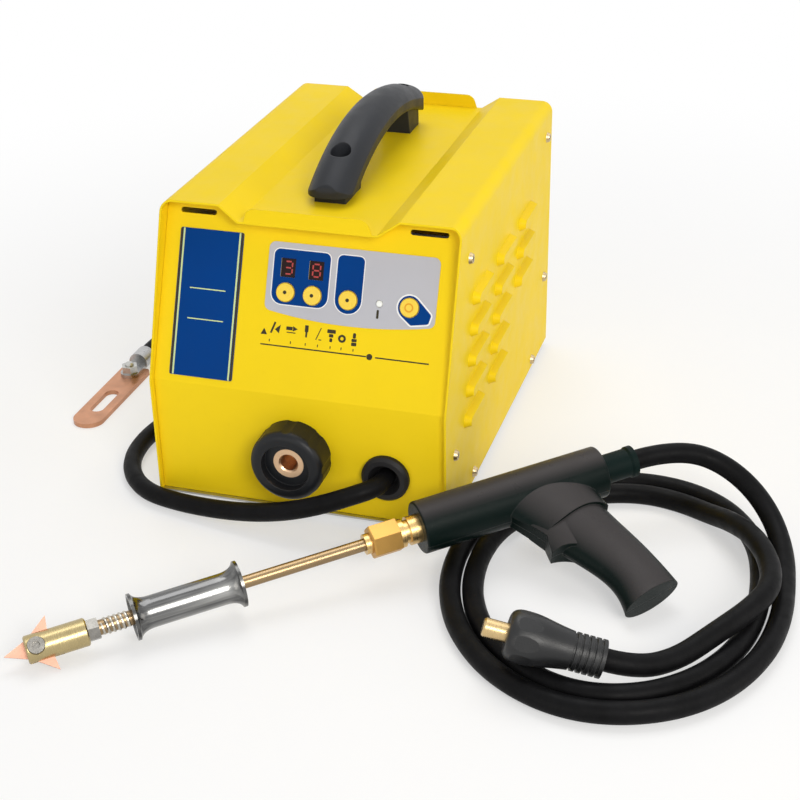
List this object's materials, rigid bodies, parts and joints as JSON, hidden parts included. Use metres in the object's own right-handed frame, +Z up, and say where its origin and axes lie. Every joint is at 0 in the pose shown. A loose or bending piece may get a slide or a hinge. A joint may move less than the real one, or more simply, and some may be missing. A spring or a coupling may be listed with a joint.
{
  "type": "dent pulling welder",
  "caption": "Dent pulling welder: louvred yellow sheet-metal power unit with a carry handle and keypad, a pistol-grip pulling gun with slide hammer on a heavy cable, and an earth lead.",
  "frame": {"origin": "on the floor under the middle of the box round the power unit and the gun, without the cables and what hangs on them", "axes": "+Z up, the power unit's front towards -Y, +X to the right seen from the front"},
  "size_m": [0.6172, 0.5916, 0.271],
  "materials": {
    "yellow_paint": "semi-gloss powder coat",
    "zinc_steel": "zinc plated",
    "handle_plastic": "grained moulding",
    "gun_plastic": "grained moulding",
    "black_plastic": "satin moulding",
    "black_rubber": "satin rubber",
    "blue_print": "printed film",
    "grey_film": "printed film",
    "display_red": "smoked red window",
    "key_yellow": "smooth moulding",
    "led_green": "clear moulding",
    "brass": "machined",
    "copper": "bare copper",
    "tinned_copper": "tinned",
    "hammer_chrome": "bright plating",
    "lamination": "varnished stack",
    "enamel_wire": "enamelled wire under tape",
    "board_green": "solder mask",
    "nylon": "natural nylon",
    "extrusion": "extruded"
  },
  "bodies": {
    "unit": {"cover": "yellow_paint", "front_panel": "yellow_paint", "rear_panel": "yellow_paint", "base_tray": "zinc_steel", "cover_screws": "zinc_steel", "handle_screws": "zinc_steel", "handle_nuts": "zinc_steel", "transformer_brackets": "zinc_steel", "transformer_bolts": "zinc_steel", "gun_screws": "zinc_steel", "star_screw": "zinc_steel", "earth_stud": "zinc_steel", "earth_nut": "zinc_steel", "jam_nut": "zinc_steel", "handle": "handle_plastic", "gun_shell_left": "gun_plastic", "gun_shell_right": "gun_plastic", "socket_body": "black_plastic", "mains_gland": "black_plastic", "terminal_block": "black_plastic", "key_switches": "black_plastic", "socket_nut": "black_plastic", "thyristor_module": "black_plastic", "feet": "black_rubber", "cable_grommet": "black_rubber", "earth_cable": "black_rubber", "gun_cable": "black_rubber", "plug_sleeve": "black_rubber", "cable_boot": "black_rubber", "badge_plate": "blue_print", "control_overlay": "grey_film", "display_left": "display_red", "display_right": "display_red", "status_led": "led_green", "socket_insert": "brass", "plug_pin": "brass", "gun_adaptor": "brass", "collet_nut": "brass", "rod_collet": "brass", "hammer_rod": "brass", "star_holder": "brass", "earth_plate": "copper", "pull_star": "copper", "output_bar": "copper", "earth_bar": "copper", "earth_ferrule": "copper", "secondary_winding": "copper", "gun_conductor": "copper", "earth_lug": "tinned_copper", "transformer_core": "lamination", "primary_winding": "enamel_wire", "control_board": "board_green", "board_standoffs": "nylon", "heatsink": "extrusion"},
    "hammer": {"slide_hammer": "hammer_chrome"},
    "key_left_cap": {"key_left": "key_yellow"},
    "key_right_cap": {"key_right": "key_yellow"},
    "key_mode_cap": {"key_mode": "key_yellow"},
    "key_standby_cap": {"key_standby": "key_yellow"}
  },
  "joints": [
    {"name": "hammer_slide", "type": "slide", "parent": "unit", "child": "hammer", "axis": [0.7799, 0.6194, 0.0905], "range_m": [0, 0.093]},
    {"name": "key_left_press", "type": "slide", "parent": "unit", "child": "key_left_cap", "axis": [0, 0.9205, -0.3907], "range_m": [0, 0.001], "stiffness_N_per_m": 1500, "springref_m": -0.0004},
    {"name": "key_right_press", "type": "slide", "parent": "unit", "child": "key_right_cap", "axis": [0, 0.9205, -0.3907], "range_m": [0, 0.001], "stiffness_N_per_m": 1500, "springref_m": -0.0004},
    {"name": "key_mode_press", "type": "slide", "parent": "unit", "child": "key_mode_cap", "axis": [0, 0.9205, -0.3907], "range_m": [0, 0.001], "stiffness_N_per_m": 1500, "springref_m": -0.0004},
    {"name": "key_standby_press", "type": "slide", "parent": "unit", "child": "key_standby_cap", "axis": [0, 0.9205, -0.3907], "range_m": [0, 0.001], "stiffness_N_per_m": 1500, "springref_m": -0.0004}
  ]
}
